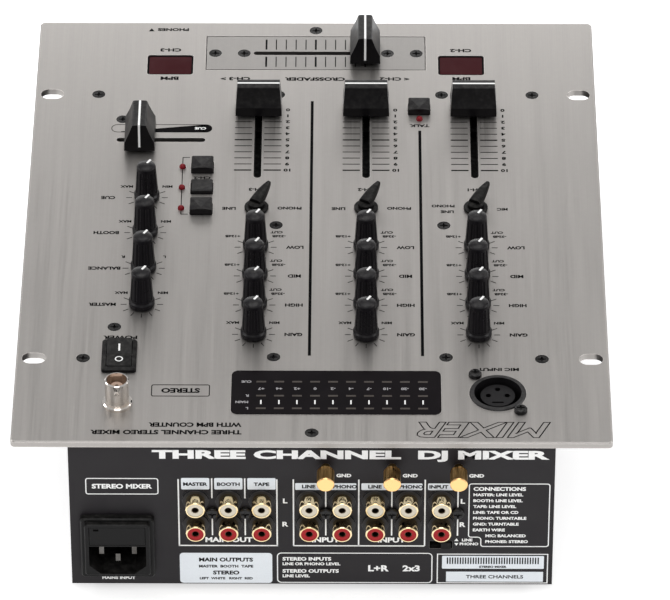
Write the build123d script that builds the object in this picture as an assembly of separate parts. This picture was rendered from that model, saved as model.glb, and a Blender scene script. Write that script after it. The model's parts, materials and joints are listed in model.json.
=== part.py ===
from build123d import *
import math
import os

# A three-channel table-top sound mixer with a face plate wider than its box.
# Millimetres. X runs to the user's right, Y to the connectors at the back, and Z up
# from the surface that the feet stand on. Pieces are laid out about the middle of the
# face plate, and save() moves them so that the origin is the middle of the footprint.

# ---- Driving dimensions ----
panel_w = 254.0
panel_d = 305.0
panel_t = 3.0
box_w = 206.0
box_d = 301.0
box_h = 77.3
sheet = 1.5
flange_w = 12.0
foot_h = 5.0
foot_r = 8.0
board_gap = 14.0
board_t = 1.6
post_reach = 12.0

# ---- Levels and edges worked out from them ----
box_bottom = foot_h
floor_top = foot_h + sheet
panel_bottom = foot_h + box_h
panel_top = panel_bottom + panel_t
board_top = panel_bottom - board_gap
rear_y = box_d / 2
wall_y = rear_y - sheet
shift_y = -(rear_y + post_reach - panel_d / 2) / 2

# ---- Controls ----
channel_pitch = 48.5
middle_channel_x = -23.0
channel_x = [middle_channel_x + i * channel_pitch for i in (-1, 0, 1)]
eq_names = ["low", "mid", "high", "gain"]
eq_pitch = 20.55
eq_y = [17.8 + i * eq_pitch for i in range(4)]
master_names = ["phones", "booth", "balance", "master"]
master_x = 74.2
master_pitch = 25.6
master_y = [-18.15 + i * master_pitch for i in range(4)]
lever_y = -10.7
lever_angle = -120.0
knob_sites = {}
for index, name in enumerate(eq_names):
    for channel, x in enumerate(channel_x):
        knob_sites[f"{name}_knob_{channel + 1}"] = (x, eq_y[index])
for index, name in enumerate(master_names):
    knob_sites[f"{name}_knob"] = (master_x, master_y[index])
lever_sites = [(x, lever_y) for x in channel_x]

fader_travel = 45.5
fader_rest_y = -84.3
fader_middle_y = fader_rest_y + fader_travel / 2
fader_slot_w = 3.5
cross_y = -128.2
cross_travel = 45.2
cross_slot = 57.0
cross_slot_w = 2.8
cross_plate_y = -128.35
cross_plate_w = 100.0
cross_plate_d = 26.0
cross_plate_t = 2.0
cross_plate_gap = 0.3
cue_fader_y = -61.3
cue_fader_middle_x = 69.15
cue_fader_rest_x = 78.5
cue_fader_travel = 30.0

button_x = 50.0
button_y = [-40.6, -25.2, -10.0]
talk_site = (-47.0, -85.0)
button_w = 9.7
button_d = 8.6
button_heights = [3.7, 2.2, 3.7]
button_sites = [(button_x, y) for y in button_y] + [talk_site]
led_x = 58.9
led_r = 1.5
led_sites = [(led_x, y - 0.2) for y in button_y] + [(-47.1, -77.2)]

# ---- Windows and sockets ----
meter_site = (-10.25, 119.25)
meter_w = 89.2
meter_d = 29.3
bpm_sites = [(66.4, -119.0), (-66.4, -119.0)]
bpm_w = 20.8
bpm_d = 15.0
window_t = 2.4
rocker_site = (82.8, 95.5)
lamp_site = (82.6, 127.1)
lamp_bore_r = 4.4
mic_site = (-79.0, 119.4)
mic_shell_r = 12.1
mic_screw_dx = 9.5
mic_screw_dy = 12.0

# ---- Back wall ----
phono_pitch = 14.05
phono_x = [49.4 - i * phono_pitch for i in range(3)] + [1.1 - i * phono_pitch for i in range(5)]
phono_z = [panel_top - 33.4, panel_top - 46.5]
phono_r = 4.15
phono_bore_r = 1.6
phono_reach = 7.4
wall_screw_x = [phono_x[0] - phono_pitch / 2, phono_x[1] - phono_pitch / 2]
wall_screw_x += [phono_x[i] - phono_pitch / 2 for i in (3, 5, 7)]
wall_screw_z = panel_top - 40.0
post_x = wall_screw_x[2:]
post_z = panel_top - 15.2
post_r = 2.0
inlet_x = 82.9
inlet_z = panel_top - 58.1
inlet_w = 31.6
inlet_h = 32.6
inlet_t = 3.0
inlet_frame_t = 2.4
inlet_front = rear_y + inlet_t + inlet_frame_t
inlet_body_w = 27.4
inlet_body_h = 30.0
socket_z = panel_top - 62.75
socket_w = 24.4
socket_h = 15.3
socket_depth = 16.4
drawer_z = panel_top - 49.55
drawer_w = 23.6
drawer_h = 9.2
drawer_back = rear_y - 19.8
slider_x = -55.05
slider_z = panel_top - 58.05
slider_slot_w = 9.7
slider_slot_h = 4.1
headphone_x = 70.0
headphone_z = panel_top - 33.0
headphone_r = 3.2

# ---- Fasteners ----
screw_r = 1.5
screw_hole_r = 1.6
screw_head_r = 3.0
edge_screws = [(0.0, y) for y in (-146.2, 146.2)]
edge_screws += [(x, y) for x in (-98.3, 98.3) for y in (-96.0, 96.0)]
board_screws = [(x, y) for x in (-57.25, 16.7) for y in (-96.0, 1.7, 95.0)]
board_screws += [(86.8, -76.9), (85.6, 74.4)]
plate_screws = [(x, cross_y) for x in (-46.0, 46.0)]
unit_screws = [(x, cross_y) for x in (-32.8, 32.8)]
foot_sites = [(x, y) for x in (-86.0, 86.0) for y in (-130.0, 130.0)]
rack_x = 119.4
rack_y = 96.1
rack_slot_l = 10.2
rack_slot_w = 7.3

bush_r = 3.5
shaft_r = 3.0
shaft_bore_r = 3.05

UP = (Align.CENTER, Align.CENTER, Align.MIN)


# ---- Small helpers ----
def disc(x, y, z, r, h):
    """An upright cylinder that starts at height z."""
    return Pos(x, y, z) * Cylinder(r, h, align=UP)


def block(x, y, z, w, d, h):
    """A box centred in plan that starts at height z."""
    return Pos(x, y, z) * Box(w, d, h, align=UP)


def back_disc(x, z, y, r, length):
    """A cylinder that runs to the back from depth y."""
    return Pos(x, y, z) * Rot(-90, 0, 0) * Cylinder(r, length, align=UP)


def back_block(x, z, y, w, h, length):
    """A box centred on x and z that runs to the back from depth y."""
    return Pos(x, y + length / 2, z) * Box(w, length, h)


def slot(x, y, z, length, width, h, turn=0):
    """A round-ended slot cutter; turn is 0 along X and 90 along Y."""
    return Pos(x, y, z) * Rot(0, 0, turn) * extrude(SlotOverall(length, width), h)


def round_block(x, y, z, w, d, h, r):
    """A box with rounded upright edges."""
    return Pos(x, y, z) * extrude(RectangleRounded(w, d, r), h)


def hexagon(x, y, z, across, h):
    """A hexagonal prism, sized across its flats."""
    return Pos(x, y, z) * extrude(RegularPolygon(across / 2, 6, major_radius=False), h)


def save(name, *pieces):
    """Move the pieces to the part's frame and write them as one node."""
    solids = [solid for piece in pieces for solid in piece.solids()]
    export_step(Pos(0, shift_y, 0) * Compound(solids), f"parts/{name}.step")


# ---- Fasteners ----
def cross_recess(z):
    """The cross-shaped driver recess, cut down from height z."""
    depth = 1.1
    arms = block(0, 0, z - depth, 3.4, 0.7, depth) + block(0, 0, z - depth, 0.7, 3.4, depth)
    return arms + disc(0, 0, z - depth, 0.8, depth)


def flat_screw(length):
    """Countersunk screw with the top of its head at z = 0."""
    head_h = screw_head_r - screw_r
    head = Pos(0, 0, -head_h) * Cone(screw_r, screw_head_r - 0.05, head_h, align=UP)
    return head + disc(0, 0, -length, screw_r, length) - cross_recess(0)


def pan_screw(length):
    """Pan-headed screw with the underside of its head at z = 0."""
    head = disc(0, 0, 0, 2.8, 2.0)
    head = fillet(head.edges().group_by(Axis.Z)[-1], 0.9)
    return head + disc(0, 0, -length, screw_r, length) - cross_recess(2.0)


def countersunk_screws():
    """Face-plate screws, with shorter ones that hold the crossfader."""
    long_screw = flat_screw(9.0)
    short_screw = flat_screw(5.0)
    pieces = [Pos(x, y, panel_top) * long_screw for x, y in edge_screws + board_screws]
    return pieces + [Pos(x, y, panel_top) * short_screw for x, y in plate_screws + unit_screws]


def pan_head_screws():
    """Screws in the back wall, the microphone socket, the board and the feet."""
    screw = pan_screw(6.0)
    backward = Rot(-90, 0, 0)
    downward = Rot(180, 0, 0)
    pieces = [Pos(x, rear_y, wall_screw_z) * backward * screw for x in wall_screw_x]
    pieces += [Pos(x, y, panel_top) * screw for x, y in mic_screw_sites()]
    pieces += [Pos(x, y, board_top - board_t) * downward * screw for x, y in board_screws]
    return pieces + [Pos(x, y, 2.5) * downward * screw for x, y in foot_sites]


def mic_screw_sites():
    """The two screws at opposite corners of the microphone socket."""
    x, y = mic_site
    return [(x + mic_screw_dx, y - mic_screw_dy), (x - mic_screw_dx, y + mic_screw_dy)]


def screw_cutter(x, y, z):
    """Countersunk hole whose mouth is at height z."""
    head_h = screw_head_r - screw_hole_r
    cone = Pos(x, y, z - head_h) * Cone(screw_hole_r, screw_head_r, head_h, align=UP)
    return cone + disc(x, y, z - 5.0, screw_hole_r, 5.0)


# ---- Case ----
def panel_cutters():
    """Everything that is cut through the face plate."""
    low = panel_bottom - 1.0
    deep = panel_t + 2.0
    cuts = [slot(x, y, low, rack_slot_l, rack_slot_w, deep)
            for x in (-rack_x, rack_x) for y in (-rack_y, rack_y)]
    cuts += [screw_cutter(x, y, panel_top) for x, y in edge_screws + board_screws]
    cuts += [disc(x, y, low, screw_hole_r, deep) for x, y in mic_screw_sites()]
    cuts += [disc(x, y, low, bush_r + 0.1, deep) for x, y in list(knob_sites.values()) + lever_sites]
    cuts += [slot(x, fader_middle_y, low, 57.0, fader_slot_w, deep, 90) for x in channel_x]
    cuts.append(slot(cue_fader_middle_x, cue_fader_y, low, 40.0, 3.0, deep))
    cuts += [round_block(x, y, low, button_w + 0.6, button_d + 0.6, deep, 0.8) for x, y in button_sites]
    cuts += [disc(x, y, low, led_r + 0.05, deep) for x, y in led_sites]
    cuts.append(round_block(*meter_site, low, meter_w + 0.2, meter_d + 0.2, deep, 3.0))
    cuts += [round_block(x, y, low, bpm_w + 0.2, bpm_d + 0.2, deep, 1.5) for x, y in bpm_sites]
    cuts.append(block(*rocker_site, low, 13.2, 19.2, deep))
    cuts.append(disc(*lamp_site, low, 4.8, deep))
    cuts.append(disc(*mic_site, low, mic_shell_r + 0.05, deep))
    pocket_w = cross_plate_w + 2 * cross_plate_gap
    pocket_d = cross_plate_d + 2 * cross_plate_gap
    cuts.append(block(0, cross_plate_y, panel_top - cross_plate_t, pocket_w, pocket_d, deep))
    cuts.append(block(0, cross_y, low, 76.0, 14.0, deep))
    cuts += [disc(x, y, low, screw_hole_r, deep) for x, y in plate_screws]
    return cuts


def top_panel():
    """Brushed face plate with a fine bevel round its upper edge."""
    plate = round_block(0, 0, panel_bottom, panel_w, panel_d, panel_t, 2.0)
    plate = chamfer(plate.faces().sort_by(Axis.Z)[-1].edges(), 0.5)
    return plate - panel_cutters()


def crossfader_plate():
    """Exchangeable plate that lies flush in its pocket."""
    z = panel_top - cross_plate_t
    plate = block(0, cross_plate_y, z, cross_plate_w, cross_plate_d, cross_plate_t)
    cuts = [screw_cutter(x, y, panel_top) for x, y in plate_screws + unit_screws]
    cuts.append(slot(0, cross_y, z - 1.0, cross_slot, cross_slot_w, cross_plate_t + 2.0))
    return plate - cuts


def chassis_tub():
    """Folded floor, front and sides, with flanges that carry the face plate."""
    depth = rear_y + wall_y
    middle_y = (wall_y - rear_y) / 2
    shell = block(0, middle_y, box_bottom, box_w, depth, box_h)
    shell = fillet(shell.edges().filter_by(Axis.Z).group_by(Axis.Y)[0], 1.2)
    inside_h = box_h - 2 * sheet
    shell -= block(0, middle_y + sheet, floor_top, box_w - 2 * sheet, depth, inside_h)
    mouth_w = box_w - 2 * flange_w
    shell -= block(0, middle_y + flange_w, panel_bottom - 2 * sheet, mouth_w, depth, 3 * sheet)
    cuts = [disc(x, y, panel_bottom - 3, screw_hole_r, 6) for x, y in edge_screws]
    cuts += [disc(x, y, foot_h - 1, screw_hole_r, 4) for x, y in foot_sites]
    cuts.append(back_disc(headphone_x, headphone_z, -rear_y - 1, 5.05, 4))
    cuts.append(block(*mic_site, panel_bottom - 3, 28.0, 33.0, 4))
    return shell - cuts


def rear_panel():
    """Back wall with its folded edges and the holes for the connectors."""
    wall = back_block(0, box_bottom + box_h / 2, wall_y, box_w, box_h, sheet)
    fold = 12.0
    side_h = box_h - 2 * sheet - 0.4
    side_x = box_w / 2 - 1.5 * sheet
    for x in (-side_x, side_x):
        wall += back_block(x, box_bottom + box_h / 2, wall_y - fold, sheet, side_h, fold)
    top_w = box_w - 2 * flange_w - 0.4
    wall += block(0, wall_y - 5.0, panel_bottom - sheet, top_w, 10.0, sheet)
    cuts = [disc(0.0, 146.2, panel_bottom - 3, screw_hole_r, 6)]
    low = wall_y - 1.0
    cuts += [back_disc(x, z, low, 5.65, 4) for x in phono_x for z in phono_z]
    cuts += [back_disc(x, wall_screw_z, low, screw_hole_r, 4) for x in wall_screw_x]
    cuts += [back_disc(x, post_z, low, post_r + 0.05, 4) for x in post_x]
    cuts.append(back_block(inlet_x, inlet_z, low, inlet_body_w + 0.6, inlet_body_h + 0.8, 4))
    cuts.append(back_block(slider_x, slider_z, low, slider_slot_w, slider_slot_h, 4))
    return wall - cuts


def rubber_feet():
    """Four round feet with a recess for their screws."""
    foot = Cylinder(foot_r, foot_h, align=UP)
    foot = fillet(foot.edges().group_by(Axis.Z)[0], 0.8)
    foot -= disc(0, 0, -0.1, 3.4, 2.6) + disc(0, 0, 0, screw_hole_r, foot_h + 1)
    return [Pos(x, y, 0) * foot for x, y in foot_sites]


# ---- Boards and what stands on them ----
def main_board():
    """Printed board under the face plate, notched round the power switch."""
    board = block(0, -3.0, board_top - board_t, 178.0, 206.0, board_t)
    board -= block(rocker_site[0], 98.0, board_top - 3, 28.0, 34.0, 6)
    cuts = [disc(x, y, board_top - 3, screw_hole_r, 6) for x, y in board_screws]
    return board - cuts


def threaded_posts():
    """Spacers between board and face plate, and the three earth posts."""
    spacer = hexagon(0, 0, board_top, 5.5, board_gap) - disc(0, 0, board_top - 1, screw_hole_r, 16)
    pieces = [Pos(x, y, 0) * spacer for x, y in board_screws]
    inside = 8.0
    for x in post_x:
        pieces.append(back_disc(x, post_z, wall_y - inside, post_r, inside + sheet + post_reach - 2.5)
                      + back_disc(x, post_z, wall_y - 4.0, 3.6, 4.0))
    return pieces


def control_body(x, y, side, h):
    """A pot or rotary switch: a square body with a threaded bush on top."""
    bush_h = board_gap + panel_t - 0.6 - h
    body = block(x, y, board_top, side, side, h) + disc(x, y, board_top + h, bush_r, bush_h)
    return body - disc(x, y, board_top + 2.0, shaft_bore_r, board_gap + panel_t)


def rotary_control_bodies():
    """The sixteen pots and the three selector switches."""
    pots = [control_body(x, y, 10.5, 6.5) for x, y in knob_sites.values()]
    return pots + [control_body(x, y, 13.0, 7.5) for x, y in lever_sites]


def switch_bodies():
    """Push switches under the buttons and the slide switch in the back wall."""
    pieces = []
    for x, y in button_sites:
        body = block(x, y, board_top, 8.0, 8.0, 8.0)
        pieces.append(body - block(x, y, board_top + 1.0, 3.5, 3.5, 9.0))
    slide_body = back_block(slider_x, slider_z, wall_y - 7.0, 14.0, 7.0, 7.0)
    cavity = back_block(slider_x, slider_z, wall_y - 5.5, slider_slot_w, slider_slot_h, 6.0)
    return pieces + [slide_body - cavity]


def fader_case(travel):
    """Sheet-metal case of a slide control, its slot along X, its top at z = 0."""
    case = block(0, 0, -11.0, travel + 13.0, 9.4, 11.0)
    case -= block(0, 0, -10.2, travel + 11.0, 7.8, 9.4)
    return case - slot(0, 0, -2.0, travel + 6.0, 2.6, 3.0)


def fader_cases():
    """The three channel faders, the crossfader and the cue fader."""
    top = panel_bottom - 0.2
    channel_case = Rot(0, 0, 90) * fader_case(fader_travel)
    pieces = [Pos(x, fader_middle_y, top) * channel_case for x in channel_x]
    cross_top = panel_top - cross_plate_t
    ears = block(0, 0, -1.2, 74.0, 9.4, 1.2) - block(0, 0, -2, cross_travel + 8.0, 8.0, 3)
    cross_case = Pos(0, cross_y, cross_top) * (fader_case(cross_travel) + ears)
    pieces.append(cross_case - [disc(x, y, cross_top - 4, screw_hole_r, 6) for x, y in unit_screws])
    pieces.append(Pos(cue_fader_middle_x, cue_fader_y, top) * fader_case(cue_fader_travel))
    return pieces


def display_modules():
    """Meter and tempo displays on their small boards."""
    low = panel_top - window_t - 6.0
    pieces = [block(*meter_site, low - board_t, meter_w + 6.0, meter_d + 2.0, board_t)]
    pieces += [block(x, y, low - board_t, bpm_w + 8.0, bpm_d + 2.0, board_t) for x, y in bpm_sites]
    pieces += [block(x, y, low, bpm_w - 2.0, bpm_d - 2.0, 5.8) for x, y in bpm_sites]
    for column in range(10):
        x = 21.7 - column * 7.65
        pieces += [block(x, y, low, 4.6, 1.6, 5.8) for y in (112.2, 121.7, 130.2)]
    return pieces


def meter_window():
    """Dark window over the level meter."""
    return round_block(*meter_site, panel_top - window_t, meter_w, meter_d, window_t + 0.25, 2.9)


def indicator_lenses():
    """Two red tempo windows and the four domed lamps beside the buttons."""
    pieces = [round_block(x, y, panel_top - window_t, bpm_w, bpm_d, window_t - 0.4, 1.4)
              for x, y in bpm_sites]
    dome_z = panel_top + 0.2
    for x, y in led_sites:
        dome = Pos(x, y, dome_z) * Sphere(led_r)
        stem = disc(x, y, board_top, led_r, dome_z - board_top)
        pieces.append(stem + (dome - block(x, y, dome_z - 5.0, 8.0, 8.0, 5.0)))
    return pieces


# ---- Sockets on the face plate ----
def mic_socket_shell():
    """Round metal shell of the microphone socket on its square flange."""
    x, y = mic_site
    depth = 22.0
    ring = disc(x, y, panel_bottom - depth, mic_shell_r, depth + panel_t + 0.6)
    ring = chamfer(ring.edges().group_by(Axis.Z)[-1], 0.4)
    flange = block(x, y, panel_bottom - 2.0, 26.0, 31.0, 2.0)
    cavity = disc(x, y, panel_bottom - depth + 1.5, 10.1, 40)
    screw_holes = [disc(a, b, panel_bottom - 6, screw_hole_r, 8) for a, b in mic_screw_sites()]
    return ring + flange - cavity - screw_holes


def socket_inserts():
    """Insulators of the microphone socket and the lamp socket."""
    x, y = mic_site
    base_z = panel_bottom - 20.4
    top_z = panel_top - 1.2
    insert = disc(x, y, base_z, 10.0, 3.0) + disc(x, y, base_z, 7.35, top_z - base_z)
    for dx, dy in ((-4.0, 0.0), (4.0, 0.0), (0.0, -4.2)):
        insert -= disc(x + dx, y + dy, top_z - 12.0, 1.2, 13.0)
    insert -= block(x, y + 4.6, top_z - 0.8, 5.0, 0.9, 1.0)
    lamp_x, lamp_y = lamp_site
    lamp = disc(lamp_x, lamp_y, panel_top + 3.0, lamp_bore_r, 1.0)
    lamp += disc(lamp_x, lamp_y, panel_top + 3.0, 2.5, 7.0)
    lamp -= disc(lamp_x, lamp_y, panel_top + 5.0, 0.8, 6.0)
    return [insert, lamp]


def lamp_socket_shell():
    """Bayonet socket for a lamp: flange, barrel with two lugs, and its nut."""
    x, y = lamp_site
    flange = disc(x, y, panel_top, 6.3, 1.9)
    flange = chamfer(flange.edges().group_by(Axis.Z)[-1], 0.5)
    barrel = disc(x, y, panel_top - 10.0, 4.75, 12.0) + disc(x, y, panel_top + 1.0, 5.1, 12.2)
    barrel = chamfer(barrel.edges().group_by(Axis.Z)[-1], 0.3)
    lugs = Pos(x, y, panel_top + 9.0) * Rot(90, 0, 0) * Cylinder(0.95, 11.8)
    shell = flange + barrel + lugs - disc(x, y, panel_top + 3.0, lamp_bore_r, 12.0)
    nut = hexagon(x, y, panel_bottom - 2.5, 13.0, 2.5) - disc(x, y, panel_bottom - 3, 4.75, 4)
    return [shell, nut]


# ---- Power switch ----
rocker_axis_z = panel_top + 0.9
rocker_r = 8.4
rocker_w = 10.6
rocker_throw = 20.0
rocker_pin_r = 0.7


def power_switch_frame():
    """Snap-in bezel and body of the rocker switch."""
    x, y = rocker_site
    bezel = round_block(x, y, panel_top, 15.0, 21.2, 2.0, 1.5)
    bezel = chamfer(bezel.faces().sort_by(Axis.Z)[-1].edges(), 0.6)
    body = block(x, y, panel_top - 14.0, 13.0, 19.0, 14.0)
    cavity = block(x, y, panel_top - 8.0, rocker_w + 0.6, 2 * rocker_r + 0.6, 12.0)
    pin_hole = Pos(x, y, rocker_axis_z) * Rot(0, 90, 0) * Cylinder(rocker_pin_r + 0.06, 12.6)
    return bezel + body - cavity - pin_hole


def power_rocker():
    """Rocker with two flat halves that meet at the throw angle."""
    x, y = rocker_site
    flat = 1.2
    rise = math.radians(rocker_throw)
    low_corner = (math.sqrt(rocker_r**2 - flat**2), flat)
    tilted = math.pi - math.asin(flat / rocker_r) - rise
    high_corner = (rocker_r * math.cos(tilted), rocker_r * math.sin(tilted))
    crease = (-flat * math.tan(rise / 2), flat)
    right_low = (rocker_r * math.cos(math.radians(-28)), rocker_r * math.sin(math.radians(-28)))
    left_low = (rocker_r * math.cos(math.radians(188)), rocker_r * math.sin(math.radians(188)))
    with BuildPart() as rocker:
        with BuildSketch(Plane.YZ):
            with BuildLine():
                Polyline(high_corner, crease, low_corner)
                RadiusArc(low_corner, right_low, rocker_r)
                Polyline(right_low, (0, -6.0), left_low)
                RadiusArc(left_low, high_corner, rocker_r)
            make_face()
        extrude(amount=rocker_w / 2, both=True)
    pins = Rot(0, 90, 0) * Cylinder(rocker_pin_r, 12.4)
    return Pos(x, y, rocker_axis_z) * (rocker.part + pins)


# ---- Back-wall connectors ----
def mains_inlet():
    """Mains inlet moulding with a fuse compartment above the socket."""
    flange = back_block(inlet_x, inlet_z, rear_y, inlet_w, inlet_h, inlet_t)
    flange = fillet(flange.edges().filter_by(Axis.Y), 1.8)
    flange = chamfer(flange.faces().sort_by(Axis.Y)[-1].edges(), 0.6)
    frame = back_block(inlet_x, inlet_z + 0.9, rear_y + inlet_t - 0.5, 28.0, 28.2, inlet_frame_t + 0.5)
    frame = fillet(frame.edges().filter_by(Axis.Y), 1.4)
    frame = chamfer(frame.faces().sort_by(Axis.Y)[-1].edges(), 0.4)
    body = back_block(inlet_x, inlet_z, rear_y - 28.0, inlet_body_w, inlet_body_h, 28.0)
    outline = Polyline((-socket_w / 2, socket_h / 2), (socket_w / 2, socket_h / 2),
                       (socket_w / 2, -socket_h / 2 + 4.5), (socket_w / 2 - 5.0, -socket_h / 2),
                       (-socket_w / 2 + 5.0, -socket_h / 2), (-socket_w / 2, -socket_h / 2 + 4.5),
                       close=True)
    floor = Plane(origin=(inlet_x, inlet_front - socket_depth, socket_z), x_dir=(1, 0, 0), z_dir=(0, -1, 0))
    socket = extrude(floor * make_face(outline), -socket_depth - 1.0)
    drawer = back_block(inlet_x, drawer_z, drawer_back - 0.7, drawer_w + 0.6, drawer_h + 0.6, 30.0)
    return flange + frame + body - socket - drawer - mains_pins()


def mains_pins():
    """Two live blades and the earth blade of the inlet."""
    back = inlet_front - socket_depth - 4.5
    length = 16.5
    sites = [(inlet_x - 7.0, socket_z + 2.0), (inlet_x + 7.0, socket_z + 2.0), (inlet_x, socket_z - 2.0)]
    return [back_block(x, z, back, 2.0, 4.0, length) for x, z in sites]


def fuse_drawer():
    """Drawer above the mains socket, with the fuse lying across it."""
    drawer = back_block(inlet_x, drawer_z, drawer_back, drawer_w, drawer_h, inlet_front - 0.1 - drawer_back)
    drawer -= back_block(inlet_x, drawer_z + 1.0, drawer_back + 2.0, 20.6, drawer_h, 7.0)
    grip = back_block(inlet_x + 9.0, drawer_z + drawer_h / 2 - 1.2, inlet_front - 1.0, 2.4, 1.2, 2.0)
    fuse_y = drawer_back + 5.4
    fuse_z = drawer_z - drawer_h / 2 + 3.8
    fuse = Pos(inlet_x, fuse_y, fuse_z) * Rot(0, 90, 0) * Cylinder(2.6, 20.0)
    return [drawer - grip, fuse]


def phono_blocks():
    """Eight moulded blocks, each holding a pair of phono sockets."""
    pieces = []
    low_z = phono_z[1] - 6.5
    high_z = phono_z[0] + 6.5
    for x in phono_x:
        body = back_block(x, (low_z + high_z) / 2, wall_y - 12.0, 12.4, high_z - low_z, 12.0)
        for z in phono_z:
            body += back_disc(x, z, wall_y - 1.0, 5.55, sheet + 2.0)
            body -= back_disc(x, z, wall_y - 8.0, phono_r, 16.0)
        pieces.append(body - [back_disc(a, wall_screw_z, wall_y - 7.0, screw_hole_r, 9) for a in wall_screw_x])
    return pieces


def phono_rings():
    """Plated outer contacts of the sixteen phono sockets."""
    start = wall_y - 8.0
    ring = back_disc(0, 0, start, phono_r, rear_y + phono_reach - start)
    ring = chamfer(ring.edges().group_by(Axis.Y)[-1], 0.25)
    ring -= back_disc(0, 0, start + 1.0, phono_r - 0.65, 30)
    return [Pos(x, 0, z) * ring for x in phono_x for z in phono_z]


def phono_inserts():
    """Insulators in the phono sockets, each with the hole for the centre pin."""
    start = wall_y - 7.0
    core = back_disc(0, 0, start, phono_r - 0.65, rear_y + phono_reach - 0.3 - start)
    core -= back_disc(0, 0, rear_y + phono_reach - 9.3, phono_bore_r, 20)
    return [Pos(x, 0, z) * core for x in phono_x for z in phono_z]


def ground_nut(x):
    """Knurled thumb nut on an earth post."""
    back = rear_y + 3.2
    length = post_reach - 3.2
    nut = back_disc(x, post_z, back, 3.7, length)
    nut = chamfer(nut.edges().filter_by(GeomType.CIRCLE), 0.4)
    for i in range(24):
        groove = Rot(0, i * 15.0, 0) * Pos(3.75, 0, 0) * Rot(-90, 0, 0) * Cylinder(0.22, length - 2.0, align=UP)
        nut -= Pos(x, back + 1.0, post_z) * groove
    return nut - back_disc(x, post_z, back - 1, post_r + 0.06, length - 1.0)


def phono_line_slider():
    """Small slider that picks line or phono level for the last input."""
    x = slider_x - slider_slot_w / 2 + 2.7
    knob = back_block(x, slider_z, rear_y - 1.4, 4.2, 3.4, 2.4)
    return knob + back_block(x, slider_z, wall_y - 5.0, 3.4, 2.8, 5.5)


# ---- Front-wall socket and power supply ----
def headphone_socket():
    """Headphone socket in the front wall with its ring nut."""
    body = back_block(headphone_x, headphone_z, 1 - wall_y, 14.0, 12.0, 24.0)
    collar = back_disc(headphone_x, headphone_z, -rear_y - 1.5, 4.95, sheet + 3.0)
    nut = back_disc(headphone_x, headphone_z, -rear_y - 1.5, 6.5, 1.5)
    bore = back_disc(headphone_x, headphone_z, -rear_y - 2.0, headphone_r, 22.0)
    return [body + collar + nut - bore]


def power_supply():
    """Transformer, supply board, two capacitors and a heat sink on the floor."""
    core = block(62.0, 60.0, floor_top, 54.0, 24.0, 45.0)
    windows = [block(62.0 + dx, 60.0, floor_top + 9.0, 9.0, 30.0, 27.0) for dx in (-13.5, 13.5)]
    coil = block(62.0, 60.0, floor_top + 9.2, 35.6, 38.0, 26.6) - block(62.0, 60.0, floor_top, 18.2, 24.2, 45)
    coil -= [block(62.0 + dx, 60.0, floor_top, 10.0, 24.2, 45) for dx in (-23.0, 23.0)]
    board_z = floor_top + 6.0
    board = block(-20.0, 75.0, board_z, 90.0, 60.0, board_t)
    pillars = [block(-20.0 + dx, 75.0 + dy, floor_top, 6.0, 6.0, 6.0) for dx in (-38, 38) for dy in (-24, 24)]
    cans = [disc(-20.0 + dx, 88.0, board_z + board_t, 8.0, 25.0) for dx in (-30, -10)]
    sink = block(5.0, 62.0, board_z + board_t, 30.0, 2.0, 25.0)
    return [core - windows, coil, board, *pillars, *cans, sink]


# ---- Moving pieces ----
knob_h = 18.7
knob_lift = 0.8
skirt_r = 5.65
body_r = 5.1
knob_top_r = 4.15
flute_count = 12
flute_l = 11.6


def knob():
    """Fluted knob about Z, with z = 0 at the face plate's top."""
    with BuildPart() as turned:
        with BuildSketch(Plane.XZ):
            with BuildLine():
                Polyline((0, knob_lift), (skirt_r, knob_lift), (skirt_r, 2.6), (body_r, 3.4),
                         (knob_top_r + 0.05, knob_h - 1.3))
                ThreePointArc((knob_top_r + 0.05, knob_h - 1.3), (knob_top_r - 0.35, knob_h - 0.7),
                              (knob_top_r - 1.0, knob_h - 0.4))
                ThreePointArc((knob_top_r - 1.0, knob_h - 0.4), (2.2, knob_h - 0.15), (1.0, knob_h))
                Polyline((1.0, knob_h), (0, knob_h), (0, knob_lift))
            make_face()
        revolve(axis=Axis.Z)
    lean = math.degrees(math.atan((body_r - knob_top_r) / (knob_h - 4.7)))
    flute = Pos(body_r + 0.42, 0, 4.3) * Rot(0, -lean, 0) * Cylinder(0.85, flute_l, align=UP)
    flutes = [Rot(0, 0, i * 360 / flute_count) * flute for i in range(flute_count)]
    return turned.part - flutes


def shaft(top):
    """Round control shaft that ends at height top above the face plate."""
    foot = -(board_gap + panel_t) + 3.0
    return disc(0, 0, foot, shaft_r, top - foot)


def rotary_knobs():
    """One knob and its shaft for every pot."""
    pin = shaft(13.0)
    body = knob() - pin
    return {name: [Pos(x, y, panel_top) * body, Pos(x, y, panel_top) * pin]
            for name, (x, y) in knob_sites.items()}


def lever():
    """Pointer lever: a low collar and a blade that rises to a narrow tip along X."""
    collar = disc(0, 0, 0.4, 5.35, 0.9)
    collar = chamfer(collar.edges().group_by(Axis.Z)[-1], 0.3)
    hub = disc(0, 0, 0.4, 3.6, 3.6)
    hub = chamfer(hub.edges().group_by(Axis.Z)[-1], 0.8)
    root = Plane(origin=(-1.4, 0, 0), x_dir=(0, 1, 0), z_dir=(1, 0, 0))
    heel = Pos(0, 3.1) * RectangleRounded(5.4, 5.0, 1.2)
    middle = Pos(0, 4.8) * RectangleRounded(4.4, 4.8, 1.1)
    tip = Pos(0, 6.8) * RectangleRounded(1.8, 2.3, 0.6)
    blade = loft([root * heel, root.offset(6.0) * middle, root.offset(12.4) * tip])
    return collar + hub + blade


def input_levers():
    """The three input selectors."""
    pin = shaft(3.2)
    turned = Rot(0, 0, lever_angle) * lever() - pin
    return [[Pos(x, y, panel_top) * turned, Pos(x, y, panel_top) * pin] for x, y in lever_sites]


cap_w = 20.8
cap_l = 13.8
cap_top_w = 18.9
cap_top_l = 6.7
cap_h = 13.4
cap_lift = 1.6
cap_skirt = 4.2


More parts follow.
